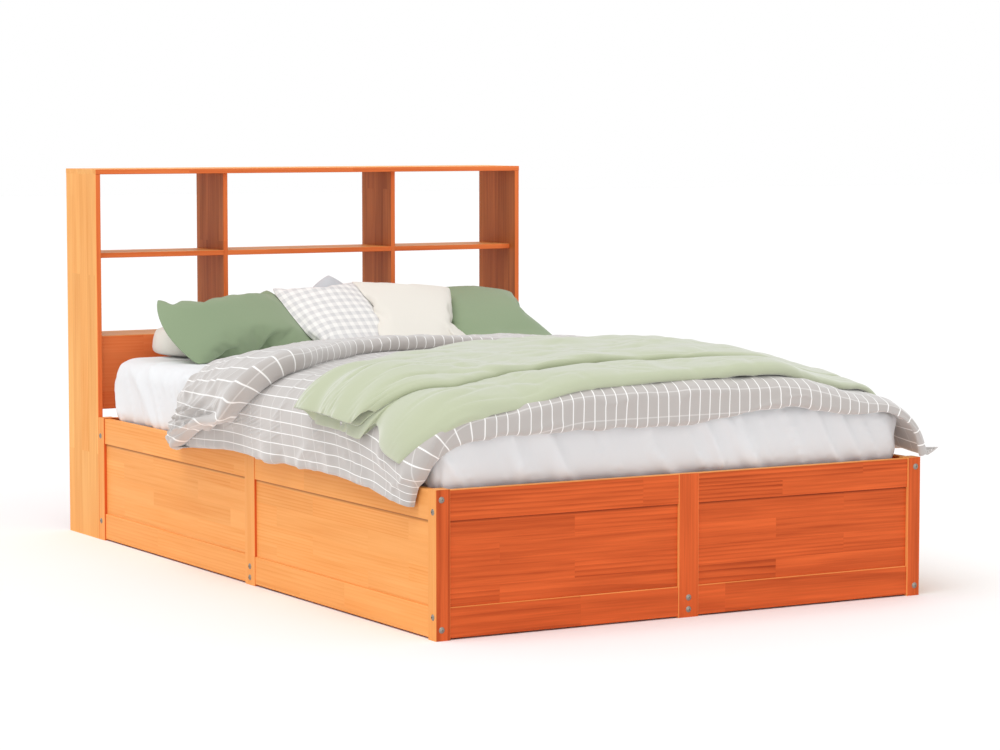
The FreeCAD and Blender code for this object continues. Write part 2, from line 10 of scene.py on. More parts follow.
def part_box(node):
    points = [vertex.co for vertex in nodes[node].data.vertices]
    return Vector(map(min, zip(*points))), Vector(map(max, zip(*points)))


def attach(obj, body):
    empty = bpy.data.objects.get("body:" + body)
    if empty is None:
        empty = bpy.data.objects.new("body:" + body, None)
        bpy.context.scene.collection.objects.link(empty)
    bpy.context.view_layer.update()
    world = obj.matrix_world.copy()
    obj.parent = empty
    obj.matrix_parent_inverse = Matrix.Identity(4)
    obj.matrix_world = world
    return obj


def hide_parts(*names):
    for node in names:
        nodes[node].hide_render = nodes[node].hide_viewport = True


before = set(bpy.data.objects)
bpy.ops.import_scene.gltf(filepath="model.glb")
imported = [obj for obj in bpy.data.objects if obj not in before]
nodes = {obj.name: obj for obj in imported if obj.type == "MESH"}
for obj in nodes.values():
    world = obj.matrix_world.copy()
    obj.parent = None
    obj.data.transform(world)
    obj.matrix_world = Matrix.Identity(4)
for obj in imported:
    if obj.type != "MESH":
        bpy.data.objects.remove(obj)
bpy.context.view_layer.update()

# Base: posts, rails and panels of solid pine, planed, edge-glued and finger-jointed, then waxed.
# Each panel sits in grooves of the rails and posts round it, and bolts pull the rails to the posts.
mm = 0.001


def linear(colour):
    """An sRGB hex colour as linear red, green, blue and alpha."""
    parts = [int(colour[i:i + 2], 16) / 255 for i in (1, 3, 5)]
    return [c / 12.92 if c <= 0.04045 else ((c + 0.055) / 1.055) ** 2.4 for c in parts] + [1.0]


def add_node(tree, kind, values=None, links=None, **settings):
    """Adds a node, sets its properties and sockets, and joins its inputs to other outputs."""
    node = tree.nodes.new(kind)
    for name, setting in settings.items():
        setattr(node, name, setting)
    for socket, value in (values or {}).items():
        node.inputs[socket].default_value = value
    for socket, output in (links or {}).items():
        tree.links.new(output, node.inputs[socket])
    return node


def new_material(name):
    """A named material with its node tree and its shader."""
    material = bpy.data.materials.new(name)
    material.use_nodes = True
    return material, material.node_tree, material.node_tree.nodes["Principled BSDF"]


# Waxed pine has a satin orange skin. Earlywood and latewood show as pale and dark streaks along the
# grain, and each stave has its own tone. The outer and upper faces are painted a paler honey, as
# painted light.
wave_unit = 2 * math.pi / 20  # a wave texture runs through 20 radians to a unit
ring_spacing = 8 * mm  # growth rings are 2 to 4 mm apart, drawn coarser so that they show
ring_share = 0.42
log_stretch_share = 0.05  # rings change this much more slowly along the grain than across it
piece_shift = (5.0, 0.8)  # how far apart pieces start in the staves, along and across, in metres
cut_from = (3.0, 0.6, 0.23)  # how far apart staves lie in the log, in metres
stave_joint = 0.2 * mm
streak_sizes = [(500 * mm, 38.46 * mm), (285.7 * mm, 7.692 * mm), (125 * mm, 2.381 * mm)]
streak_shares = (0.9, 0.7, 0.3)
streak_start = -0.7
grain_depth = 0.4 * mm
# A dark line painted as shade under a rail: from 9 mm to 1 mm below its lower edge, down to half the colour.
painted_shade_from = 9 * mm
painted_shade_to = 1 * mm
painted_shade_share = 0.5
# The deep tone is the wood's own; the pale one is painted light on the faces that look to the lamps.
deep_wax = ("#EC6C34", "#9A3612")
painted_light_wax = ("#FFB468", "#EE9444")


def pine(name, along, across, stave, deep, pale, painted_lit_faces, edge=None, painted_shade_line=None):
    """Pine boards with their grain along one axis, in staves side by side across another. Each tone
    is an earlywood and a latewood colour. Shares given for the faces that look to -X, to +X and up
    paint them from the deep tone towards the pale one, as painted light. A board's front edges may
    have a tone of their own, also painted light, and a dark line is painted as shade under a given
    height, where a board meets a rail over it."""
    material, tree, shader = new_material(name)
    place = add_node(tree, "ShaderNodeTexCoord").outputs["Object"]
    axis = add_node(tree, "ShaderNodeSeparateXYZ", links={0: place}).outputs
    depth = ({"X", "Y", "Z"} - {along, across}).pop()
    piece = add_node(tree, "ShaderNodeObjectInfo").outputs["Random"]
    laid_axes = []
    for way, shift in zip((along, across), piece_shift):
        laid_axes.append(add_node(tree, "ShaderNodeMath", {1: shift}, {0: piece, 2: axis[way]},
                                  operation="MULTIPLY_ADD").outputs[0])
    laid = add_node(tree, "ShaderNodeCombineXYZ", links=dict(enumerate(laid_axes)))
    staves = add_node(
        tree, "ShaderNodeTexBrick",
        {"Color1": (0, 0, 0, 1), "Color2": (1, 1, 1, 1), "Mortar": (0.35, 0.35, 0.35, 1), "Scale": 1.0,
         "Mortar Size": stave_joint, "Brick Width": stave[0], "Row Height": stave[1]},
        {"Vector": laid.outputs[0]}, offset=0.41,
    )
    stave_tone = add_node(tree, "ShaderNodeRGBToBW", links={0: staves.outputs["Color"]}).outputs[0]
    slow = add_node(tree, "ShaderNodeMath", {1: log_stretch_share}, {0: laid_axes[0]}, operation="MULTIPLY")
    log_axes = []
    for coordinate, apart in zip((slow.outputs[0], laid_axes[1], axis[depth]), cut_from):
        log_axes.append(add_node(tree, "ShaderNodeMath", {1: apart}, {0: stave_tone, 2: coordinate},
                                 operation="MULTIPLY_ADD").outputs[0])
    log = add_node(tree, "ShaderNodeCombineXYZ", links=dict(enumerate(log_axes))).outputs[0]
    rings = add_node(
        tree, "ShaderNodeTexWave",
        {"Scale": wave_unit / ring_spacing, "Distortion": 13.0, "Detail": 3.0, "Detail Scale": 0.22},
        {"Vector": log}, wave_type="RINGS", rings_direction="X", wave_profile="SAW",
    )
    latewood = add_node(tree, "ShaderNodeMapRange", {"From Min": 0.3, "From Max": 1.0},
                        {"Value": rings.outputs["Fac"]}, interpolation_type="SMOOTHSTEP")
    ringed = add_node(tree, "ShaderNodeMath", {1: 7.3}, {0: stave_tone}, operation="MULTIPLY")
    ringed = add_node(tree, "ShaderNodeMath", {1: 1.0}, {0: ringed.outputs[0]}, operation="PINGPONG")
    band = add_node(tree, "ShaderNodeMath", links={0: latewood.outputs[0], 1: ringed.outputs[0]},
                    operation="MULTIPLY")
    streak = add_node(tree, "ShaderNodeMath", {1: ring_share, 2: streak_start}, {0: band.outputs[0]},
                      operation="MULTIPLY_ADD").outputs[0]
    for (length, width), share in zip(streak_sizes, streak_shares):
        scales = (1 / length / log_stretch_share, 1 / width, 1 / width)
        stretched = add_node(tree, "ShaderNodeVectorMath", {1: scales}, {0: log}, operation="MULTIPLY")
        fibres = add_node(tree, "ShaderNodeTexNoise", {"Scale": 1.0, "Detail": 3.0},
                          {"Vector": stretched.outputs[0]})
        streak = add_node(tree, "ShaderNodeMath", {1: share}, {0: fibres.outputs["Fac"], 2: streak},
                          operation="MULTIPLY_ADD", use_clamp=share == streak_shares[-1]).outputs[0]
    tones = []
    for early, late in (deep, pale, edge or deep):
        tones.append(add_node(tree, "ShaderNodeMix", {6: linear(early), 7: linear(late)}, {0: streak},
                              data_type="RGBA").outputs[2])
    # Faces are painted lighter by the way they look, as painted light: those facing -X, +X and up move
    # towards the pale tone.
    normal = add_node(tree, "ShaderNodeNewGeometry").outputs["Normal"]
    facing = add_node(tree, "ShaderNodeSeparateXYZ", links={0: normal}).outputs
    painted_light_share = None
    for component, share in (("X", -painted_lit_faces[0]), ("X", painted_lit_faces[1]), ("Z", painted_lit_faces[2])):
        if share:
            lit = add_node(tree, "ShaderNodeMath", {1: share}, {0: facing[component]},
                           operation="MULTIPLY", use_clamp=True).outputs[0]
            painted_light_share = lit if painted_light_share is None else add_node(
                tree, "ShaderNodeMath", links={0: painted_light_share, 1: lit}, operation="ADD", use_clamp=True).outputs[0]
    colour = tones[0]
    if painted_light_share is not None:
        colour = add_node(tree, "ShaderNodeMix", links={0: painted_light_share, 6: tones[0], 7: tones[1]},
                          data_type="RGBA").outputs[2]
    # Faces that look forward, to the foot, are painted in a tone of their own, as painted light.
    if edge:
        front = add_node(tree, "ShaderNodeMath", {1: -1.0}, {0: facing["Y"]},
                         operation="MULTIPLY", use_clamp=True)
        colour = add_node(tree, "ShaderNodeMix", links={0: front.outputs[0], 6: colour, 7: tones[2]},
                          data_type="RGBA").outputs[2]
    shade = add_node(tree, "ShaderNodeMath", {1: 0.07, 2: 0.95}, {0: stave_tone}, operation="MULTIPLY_ADD")
    # A dark line painted as shade under the rail over the board.
    if painted_shade_line:
        painted_shade_range = {"From Min": painted_shade_line - painted_shade_from, "From Max": painted_shade_line - painted_shade_to,
                "To Min": 1.0, "To Max": painted_shade_share}
        painted_shade_ramp = add_node(tree, "ShaderNodeMapRange", painted_shade_range, {"Value": axis["Z"]},
                            interpolation_type="SMOOTHSTEP")
        shade = add_node(tree, "ShaderNodeMath", links={0: shade.outputs[0], 1: painted_shade_ramp.outputs[0]},
                         operation="MULTIPLY")
    colour = add_node(tree, "ShaderNodeMix", {0: 1.0}, {6: colour, 7: shade.outputs[0]},
                      data_type="RGBA", blend_type="MULTIPLY").outputs[2]
    gloss = add_node(tree, "ShaderNodeMath", {1: 0.14, 2: 0.42}, {0: streak}, operation="MULTIPLY_ADD")
    bump = add_node(tree, "ShaderNodeBump", {"Strength": 0.25, "Distance": grain_depth}, {"Height": streak})
    tree.links.new(colour, shader.inputs["Base Color"])
    tree.links.new(gloss.outputs[0], shader.inputs["Roughness"])
    tree.links.new(bump.outputs[0], shader.inputs["Normal"])
    shader.inputs["Specular IOR Level"].default_value = 0.12
    return material


def finish_nodes(names, material):
    """Gives CAD nodes their finish."""
    for name in names:
        for slot in nodes[name].material_slots:
            slot.material = material


panel_stave = (520 * mm, 52 * mm)
rail_stave = (620 * mm, 120 * mm)
whole_board = (60.0, 20.0)  # far larger than any piece, in metres, so that no joint shows in it
# Which faces of each side's pieces are painted pale, as painted light: to -X, to +X and up.
lit_faces_by_side = {"foot": (1, 1, 1), "head": (1, 1, 1), "left": (1, 0, 1), "right": (0, 1, 1)}
panel_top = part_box("foot_top_rail_left")[0].z
for side, grain in (("foot", "X"), ("head", "X"), ("left", "Y"), ("right", "Y")):
    painted_lit_faces = lit_faces_by_side[side]
    own = [name for name in nodes if name.startswith(side + "_")]
    finish_nodes([name for name in own if "rail" in name],
                 pine(f"pine_rail_waxed_{side}", grain, "Z", rail_stave, deep_wax, painted_light_wax, painted_lit_faces))
    # Each panel gets a dark line painted as shade under its top rail.
    finish_nodes([name for name in own if "panel" in name],
                 pine(f"pine_panel_edge_glued_{side}", grain, "Z", panel_stave, deep_wax, painted_light_wax, painted_lit_faces,
                      painted_shade_line=panel_top))
    finish_nodes([name for name in own if "post" in name],
                 pine(f"pine_post_waxed_{side}", "Z", grain, whole_board, deep_wax, painted_light_wax, painted_lit_faces))

# Headboard: a bookcase of 15 mm pine boards, edge-glued from narrow staves and doweled together.
# Its sides stand on the floor behind the head posts, and its back is open. Its tones are painted by
# the way its faces look, as painted light: pale honey on its outer and upper faces, dark brown as
# painted shade on the faces inside its bays, and orange on the faces that look forward.
board_stave = (900 * mm, 58 * mm)
# Painted light: the pale honey of the boards' outer and upper faces.
painted_lit_board_wax = ("#FFBE70", "#E48C3C")
# Painted shade: the dark brown of the faces inside the bays.
painted_shade_wax = ("#C8763A", "#783A18")
# The back panel's tone is painted brighter, as painted light where the pillows and the bed keep the light off
# it.
painted_light_panel_wax = ("#FF9256", "#F4763E")
# The orange of the forward faces, painted as the light they catch.
painted_front_wax = ("#FA8648", "#D8602C")
dividers = ["headboard_divider_left", "headboard_divider_right"]
for name, uprights, painted_lit_faces in (("pine_board_left_waxed", ["headboard_side_left"], (1, 0, 0)),
                              ("pine_board_right_waxed", ["headboard_side_right"], (0, 1, 0)),
                              ("pine_divider_waxed", dividers, (0, 0, 0))):
    finish_nodes(uprights, pine(name, "Z", "Y", board_stave, painted_shade_wax, painted_lit_board_wax, painted_lit_faces, painted_front_wax))
level_boards = [name for name in nodes if "headboard_shelf" in name or "headboard_top" in name]
finish_nodes(level_boards + ["headboard_lower_shelf"],
             pine("pine_shelf_waxed", "X", "Y", board_stave, deep_wax, painted_lit_board_wax, (1, 1, 1), painted_front_wax))
finish_nodes(["headboard_panel"],
             pine("pine_back_panel_waxed", "X", "Z", board_stave, painted_light_panel_wax, painted_lit_board_wax, (0, 0, 1)))

# Slatted support: plain pine, planed and left bare, so it stays pale and straw-coloured. The slats
# are screwed to ledgers on the side rails, and a beam on two legs carries their middle. Stretchers
# tie the middle posts together.
bare_pine = ("#EBCB98", "#CFA066")
bare = {"slats": "X", "slat_ledgers": "Y", "centre_beam": "Y", "centre_legs": "Z",
        "long_stretcher": "Y", "cross_stretcher": "X"}
for name, grain in bare.items():
    across = "Y" if grain == "X" else "X"
    finish_nodes([name],
                 pine(f"pine_bare_{name}", grain, across, whole_board, bare_pine, bare_pine, (0, 0, 0)))

# Fasteners: zinc-plated steel bolts with low domed heads and hexagon sockets, barrel nuts, screws
# and angle brackets; beech dowels, turned and fluted, glued into the joints. The plating is a dull
# warm grey, clouded by its crystals, and the bare beech is a pinkish tan.
spangle_size = 3 * mm
zinc, tree, shader = new_material("steel_zinc_plated")
place = add_node(tree, "ShaderNodeTexCoord").outputs["Object"]
spangle = add_node(tree, "ShaderNodeTexNoise", {"Scale": 1 / spangle_size, "Detail": 3.0}, {"Vector": place})
tone = add_node(tree, "ShaderNodeMix", {6: linear("#7D766E"), 7: linear("#A8A29A")},
                {0: spangle.outputs["Fac"]}, data_type="RGBA")
rough = add_node(tree, "ShaderNodeMath", {1: 0.2, 2: 0.25}, {0: spangle.outputs["Fac"]},
                 operation="MULTIPLY_ADD")
tree.links.new(tone.outputs[2], shader.inputs["Base Color"])
tree.links.new(rough.outputs[0], shader.inputs["Roughness"])
shader.inputs["Metallic"].default_value = 1.0
finish_nodes(["bolts", "barrel_nuts", "wood_screws", "angle_brackets"], zinc)
beech = ("#D9B48A", "#BD9366")
finish_nodes(["dowels"], pine("beech_dowel_turned", "Z", "X", whole_board, beech, beech, (0, 0, 0)))


# Mattress: a foam block in a white cotton fitted sheet, pulled over it and held by elastic below.
# The sheet is drawn in soft slanting creases down the sides, and the foam has sunk at its foot
# corners, further along on the right.
def soft_noise(a, b, seed):
    """A smooth random field over a plane, from -1 to 1, with about one swell to a unit."""
    table = np.random.default_rng(seed).uniform(-1, 1, (64, 64))
    i, j = np.floor(a).astype(int), np.floor(b).astype(int)
    s, t = a - i, b - j
    s, t = s * s * (3 - 2 * s), t * t * (3 - 2 * t)
    near = table[i % 64, j % 64] * (1 - s) + table[(i + 1) % 64, j % 64] * s
    far = table[i % 64, (j + 1) % 64] * (1 - s) + table[(i + 1) % 64, (j + 1) % 64] * s
    return near * (1 - t) + far * t


def creases(a, b, seed, width):
    """Narrow ridges, from 0 to 1, where a smooth field passes through zero."""
    return np.clip(1 - np.abs(soft_noise(a, b, seed)) / width, 0, 1) ** 2


def ramp(value, start, run):
    """A share that grows evenly from 0 at the start to 1 at the end of the run."""
    return np.clip((value - start) / run, 0, 1)


def by_side(across, pair):
    """The first of a pair left of the bed's middle, and the second right of it."""
    return np.where(across > 0, pair[1], pair[0])


def add_piece(name, mesh, material, cad_nodes):
    """A soft piece that stands for CAD solids, rides with the mattress and is drawn smooth."""
    mesh.materials.append(material)
    mesh.shade_smooth()
    piece = bpy.data.objects.new(name, mesh)
    bpy.context.scene.collection.objects.link(piece)
    piece.modifiers.new("smooth", "SUBSURF").render_levels = 1
    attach(piece, "mattress")
    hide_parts(*cad_nodes)
    return piece


thread_depth = 0.3 * mm


def cotton(name, thread, roughness, sheen):
    """Woven cloth: two sets of threads that pass over and under each other, on the cloth's own
    flat coordinates, drawn coarser than real ones so that they show. Returns the material, its
    tree, its shader and the coordinates."""
    material, tree, shader = new_material(name)
    flat_place = add_node(tree, "ShaderNodeUVMap", uv_map="cloth").outputs[0]
    weave = None
    for direction in ("X", "Y"):
        threads = add_node(tree, "ShaderNodeTexWave", {"Scale": wave_unit / thread, "Distortion": 1.5},
                           {"Vector": flat_place}, wave_type="BANDS", bands_direction=direction)
        weave = threads.outputs["Fac"] if weave is None else add_node(
            tree, "ShaderNodeMath", links={0: weave, 1: threads.outputs["Fac"]}, operation="ADD").outputs[0]
    bump = add_node(tree, "ShaderNodeBump", {"Strength": 0.15, "Distance": thread_depth}, {"Height": weave})
    tree.links.new(bump.outputs[0], shader.inputs["Normal"])
    shader.inputs["Roughness"].default_value = roughness
    shader.inputs["Sheen Weight"].default_value = sheen
    return material, tree, shader, flat_place


mattress_low, mattress_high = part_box("mattress")
mattress_round = 58 * mm
mattress_step = 13 * mm
crease_apart = 62 * mm
crease_tall = 260 * mm
crease_lean_share = 0.55
deep_crease = 12 * mm
fine_crease = 6 * mm
sheet_swell = 2 * mm
sheet_set_in = 3 * mm
top_crease_share = 0.35
sink_from = 300 * mm
sink_run = 360 * mm
foam_sink = (40 * mm, 50 * mm)
foam_sink_along = (190 * mm, 480 * mm)
block = bmesh.new()
bmesh.ops.create_cube(block, size=1.0)
size = mattress_high - mattress_low
for axis in range(3):
    along = [e for e in block.edges if abs((e.verts[0].co - e.verts[1].co)[axis]) > 0.9]
    bmesh.ops.subdivide_edges(block, edges=along, cuts=round(size[axis] / mattress_step), use_grid_fill=True)
mesh = bpy.data.meshes.new("mattress_in_sheet")
block.to_mesh(mesh)
block.free()
points = np.array([v.co for v in mesh.vertices]) * np.array(size)
core = np.array(size) / 2 - mattress_round
inner = np.clip(points, -core, core)
out = points - inner
out /= np.maximum(np.linalg.norm(out, axis=1), 1e-9)[:, None]
points = inner + out * mattress_round
on_side = np.abs(out[:, 2]) < 0.8
on_end = np.abs(out[:, 1]) > np.abs(out[:, 0])
round_bed = np.where(on_end, points[:, 0], -points[:, 1])
lean = (round_bed + crease_lean_share * points[:, 2]) / crease_apart
rise = points[:, 2] / crease_tall
pulled = creases(lean, rise, 11, 0.26) * deep_crease
pulled = pulled + creases(lean * 1.9 + 7, rise * 1.5, 12, 0.28) * fine_crease
swell = soft_noise(lean * 0.45, rise, 13) * sheet_swell - sheet_set_in
points += out * ((pulled + swell) * np.where(on_side, 1.0, top_crease_share))[:, None]
points += np.array((mattress_low + mattress_high) / 2)
from_middle = points[:, 0]
from_foot = np.clip(points[:, 1] - mattress_low.y, 0, None)
sunk = ramp(np.abs(from_middle), sink_from, sink_run) ** 2
sunk *= np.exp(-(from_foot / by_side(from_middle, foam_sink_along)) ** 2)
points[:, 2] -= by_side(from_middle, foam_sink) * sunk * ramp(points[:, 2], mattress_low.z, size[2]) ** 2
mesh.vertices.foreach_set("co", points.ravel())
# Percale is a plain close weave: a cool, flat white with hardly any sheen.
sheet_cotton, tree, shader, flat_place = cotton("cotton_percale_white", 3 * mm, 0.85, 0.1)
shader.inputs["Base Color"].default_value = linear("#EAEBED")
mattress = add_piece("mattress_in_sheet", mesh, sheet_cotton, ["mattress"])

# Duvet: a cotton cover filled with fibre, warm grey with a white windowpane check woven in. It lies
# loose over the mattress: its head end is turned back and its edges hang over the foot and both
# sides. Places across it are measured along its surface from the middle, and y from the foot.
bed_top = mattress_high.z + 0.4 * mm
post_side = 40 * mm
foot_y = mattress_low.y - post_side
line_half = 732 * mm
flat_half = 662 * mm
bend_arc = 110 * mm
side_drop = 138 * mm
hem_u = flat_half + bend_arc + side_drop
bend_radius = 70 * mm
foot_bend = 60 * mm
foot_bend_along = 260 * mm
corner_from = 40 * mm
corner_along = 170 * mm
corner_flare = (12 * mm, 46 * mm)
hem_ruffles = ((95 * mm, 7 * mm, 21), (38 * mm, 4 * mm, 20))
hem_left = ((-60, 308), (100, 311), (242, 341), (444, 355), (854, 355), (1098, 361), (1487, 334))
hem_right = ((-60, 396), (60, 382), (300, 356), (1600, 350))
filling_sink = (34 * mm, 46 * mm)
filling_sink_along = (200 * mm, 500 * mm)


def settled(u, y):
    """How far the filling has sunk over the foot corners, more of the way along on the right."""
    share = ramp(np.abs(u), sink_from, sink_run)
    fading = np.exp(-(np.clip(y, 0, None) / by_side(u, filling_sink_along)) ** 2)
    return by_side(u, filling_sink) * share * share * (3 - 2 * share) * fading


def over_bed(u, y, height):
    """Points at a place u across the bed, y from the foot and a height off the bed's line: up the
    left side, round a bend that is wider towards the foot, over the top and down the right side."""
    far, side = np.abs(u), np.sign(u)
    radius = bend_radius + foot_bend * np.exp(-(np.clip(y, 0, None) / foot_bend_along) ** 2)
    turn = ramp(far, flat_half, bend_arc) * math.pi / 2
    hang = np.clip((far - flat_half - bend_arc) / side_drop, 0, 1.2)
    hems = [np.interp(y / mm, *zip(*row)) * mm for row in (hem_left, hem_right)]
    top = bed_top - settled(u, y)
    fall = hang * (top - radius - by_side(u, hems))
    corner = np.exp(-np.clip(y + corner_from, 0, None) / corner_along)
    ruffled = sum(soft_noise(y / wide, u * 0, seed) * deep for wide, deep, seed in hem_ruffles)
    left_flare = hang ** 1.3 * (ruffled + corner * corner_flare[0])
    right_flare = hang ** 0.7 * corner * corner_flare[1]
    across = np.minimum(far, flat_half) / flat_half * (line_half - radius)
    x = side * (across + (radius + height) * np.sin(turn) + by_side(u, (left_flare, right_flare)))
    z = top - radius * (1 - np.cos(turn)) + height * np.cos(turn) - fall
    return np.stack([x, foot_y + y, z], axis=-1)


def smooth_row(u, knots, values, spread, count=9):
    """A size across the bed, in metres, from values in mm at the knots, with their bends eased."""
    shifts = np.linspace(-spread, spread, count)
    return np.mean([np.interp(u + shift, knots, values) for shift in shifts], axis=0) * mm


duvet_knots = np.array([-910, -772, -717, -662, -331, 0, 331, 662, 717, 772, 910]) * mm
duvet_ease = 36 * mm
duvet_thick = (24, 36, 40, 42, 51, 53, 50, 32, 27, 24, 20)
duvet_foot = (103, 66, 28, 3, 3, 3, 3, 3, 0, -6, -16)
duvet_fold = (1450, 970, 835, 845, 1175, 1270, 1290, 1290, 1295, 1300, 1310)
duvet_head = (1492, 1418, 1340, 1380, 1630, 1673, 1673, 1673, 1663, 1647, 1614)
duvet_flap = (34, 46, 54, 56, 42, 34, 22, 10, 8, 8, 8)
fold_waves = ((130 * mm, 9 * mm, 22), (55 * mm, 4 * mm, 23))


def duvet_sizes(u):
    """Thickness, foot edge, fold line and head edge of the duvet at a place across the bed."""
    rows = (duvet_thick, duvet_foot, duvet_fold, duvet_head)
    thick, foot, fold, head = (smooth_row(u, duvet_knots, row, duvet_ease) for row in rows)
    wave = sum(soft_noise(u / wide, u * 0, seed) * deep for wide, deep, seed in fold_waves)
    return thick, foot, fold + wave, head


broad_puff = (170 * mm, 210 * mm, 5 * mm)
small_puff = (70 * mm, 95 * mm, 2.5 * mm)
pull_apart = (60 * mm, 120 * mm)
pull_slant = (300 * mm, 400 * mm)
pull_depth = 4.5 * mm
end_pull = 4 * mm
end_pull_from = 640 * mm
end_pull_run = 100 * mm


def puff(u, v):
    """How far the filled cover swells and creases, over its flat coordinates."""
    swell = sum(soft_noise(u / wide, v / long, seed) * deep
                for (wide, long, deep), seed in ((broad_puff, 24), (small_puff, 25)))
    pulled = pull_depth + end_pull * ramp(-u, end_pull_from, end_pull_run)
    lines = creases(u / pull_apart[1] + v / pull_slant[1], v / pull_apart[0] - u / pull_slant[0], 26, 0.22)
    return swell - lines * pulled


def steps(count, start=0.0, end=1.0):
    """Even steps along one run of a section, without its last point."""
    return np.linspace(start, end, count, endpoint=False)[None, :]


roll_width = 74 * mm
lip = 26 * mm
flap_crown = 6 * mm
top_crown = 4 * mm
front_low_share = 0.25
droop_knots = np.array([-772, -717, -655, -565, -400, -212, 20, 340, 620, 772]) * mm
droop_row = (4, 22, 24, 14, 36, 50, 46, 16, 4, 4)
droop_ease = 30 * mm
droop_full = 30 * mm
droop_wave = 4 * mm
droop_wave_wide = 75 * mm
flap_cloth_from = 310 * mm
duvet_u = np.linspace(-hem_u, hem_u, 150)[:, None]
thick, foot, fold, head = duvet_sizes(duvet_u)
droop = smooth_row(duvet_u, droop_knots, droop_row, droop_ease, 7)
droop_waves = soft_noise(duvet_u / droop_wave_wide, duvet_u * 0, 27) * droop_wave
droop = droop + droop_waves * ramp(droop, 0, droop_full)
flap = smooth_row(duvet_u, duvet_knots, duvet_flap, duvet_ease)
wall = np.minimum(lip, 0.6 * thick)
front_low = front_low_share * thick
head_round = 0.5 * thick
head_high = 0.95 * thick
fold_in = fold + flap / 2
section = []
t = steps(18)
section.append((foot + wall + (head - head_round - foot - wall) * t, 0 * thick + 0 * t))
a = np.radians(steps(9, -90, 90))
section.append((head - head_round + head_round * np.cos(a), head_high / 2 * (1 + np.sin(a))))
t = steps(38)
section.append((head - head_round + (fold_in - head + head_round) * t,
                head_high + (thick + flap - head_high) * t + flap_crown * np.sin(math.pi * t)))
a = np.radians(steps(9, 90, 270))
section.append((fold_in + flap / 2 * np.cos(a), thick + flap / 2 + flap / 2 * np.sin(a)))
t = steps(90)
section.append((fold_in + (foot + roll_width - fold_in) * t, thick + top_crown * np.sin(math.pi * t)))
a = np.radians(steps(12, 90, 0))
section.append((foot + roll_width * (1 - np.cos(a)), front_low + (thick - front_low) * np.sin(a)))
t = steps(8)
section.append((foot + 0 * t, front_low - (front_low + droop) * t))
a = np.radians(steps(7, 180, 360))
section.append((foot + wall / 2 + wall / 2 * np.cos(a), -droop + wall / 2 * np.sin(a)))
t = steps(5)
section.append((foot + wall + 0 * t, -droop * (1 - t)))
y, height = (np.concatenate([row[k] + 0 * duvet_u for row in section], axis=1) for k in (0, 1))
bottom_count = section[0][0].shape[1]
crease_at = sum(row[0].shape[1] for row in section[:4])
wall_at = y.shape[1] - section[-1][0].shape[1]
step = np.hypot(np.diff(y, axis=1), np.diff(height, axis=1))
length = np.concatenate([0 * duvet_u, np.cumsum(step, axis=1)], axis=1)
past = length - length[:, crease_at:crease_at + 1]
flat_v = np.where(past >= 0, y[:, crease_at:crease_at + 1] - past, flap_cloth_from - past)
flat_u = duvet_u + 0 * y
points = over_bed(flat_u, y, height)
woven_radius = 115 * mm
bend_growth = (woven_radius * math.pi / 2 - bend_arc) * ramp(np.abs(flat_u), flat_half, bend_arc)
woven_u = flat_u + np.sign(flat_u) * bend_growth


def loft(name, rings, flat, half):
    """A closed skin through rings of points, with its flat coordinates. Each end is closed by a
    strip between the first half of its ring and the rest."""
    count, around = rings.shape[:2]
    index = np.arange(count * around).reshape(count, around)
    near, far = index[:-1], index[1:]
    quads = np.stack([near, far, np.roll(far, -1, axis=1), np.roll(near, -1, axis=1)], axis=-1)
    faces = quads.reshape(-1, 4).tolist()
    for end, order in ((index[0], 1), (index[-1], -1)):
        one, other = end[:half], end[half:][::-1]
        i = j = 0
        while i < len(one) - 1 or j < len(other) - 1:
            if i < len(one) - 1 and (i + 1) * len(other) <= (j + 1) * len(one):
                faces.append([one[i], one[i + 1], other[j]][::order])
                i += 1
            else:
                faces.append([one[i], other[j + 1], other[j]][::order])
                j += 1
    mesh = bpy.data.meshes.new(name)
    mesh.from_pydata(rings.reshape(-1, 3).tolist(), [], faces)
    mesh.update()
    lay_flat(mesh, flat.reshape(-1, 2))
    return mesh


def lay_flat(mesh, flat):
    """Keeps each vertex's place on the flat cloth as the mesh's coordinates for the weave."""
    corner = np.zeros(len(mesh.loops), dtype=int)
    mesh.loops.foreach_get("vertex_index", corner)
    mesh.uv_layers.new(name="cloth").data.foreach_set("uv", flat[corner].ravel())


def normals_of(mesh):
    """The mesh's vertex normals as an array."""
    values = np.zeros(len(mesh.vertices) * 3)
    mesh.vertices.foreach_get("normal", values)
    return values.reshape(-1, 3)


gather_from = 640 * mm
gather_run = 160 * mm
gather_wide = 42 * mm
gather_tall = 85 * mm
gather_slant = 150 * mm
gather_depth = 30 * mm
rail_room = 4 * mm
mesh = loft("duvet_folded_back", points, np.stack([woven_u, flat_v], axis=-1), bottom_count + 4)
shown = np.ones(y.shape)
shown[:, :bottom_count] = 0
shown[:, wall_at:] = 0
flap_end = ramp(-duvet_u, gather_from, gather_run) * (past < 0)
gathers = creases(flat_u / gather_wide + flat_v / gather_slant, flat_v / gather_tall, 28, 0.4)
swelling = ((puff(flat_u, flat_v) - flap_end * gathers * gather_depth) * shown).ravel()
laid = points.reshape(-1, 3) + normals_of(mesh) * swelling[:, None]
post_low, post_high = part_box("foot_post_left")
beside_rail = (laid[:, 2] < post_high.z + rail_room) & (laid[:, 0] < 0)
laid[beside_rail, 0] = np.minimum(laid[beside_rail, 0], post_low.x - rail_room)
mesh.vertices.foreach_set("co", laid.ravel())

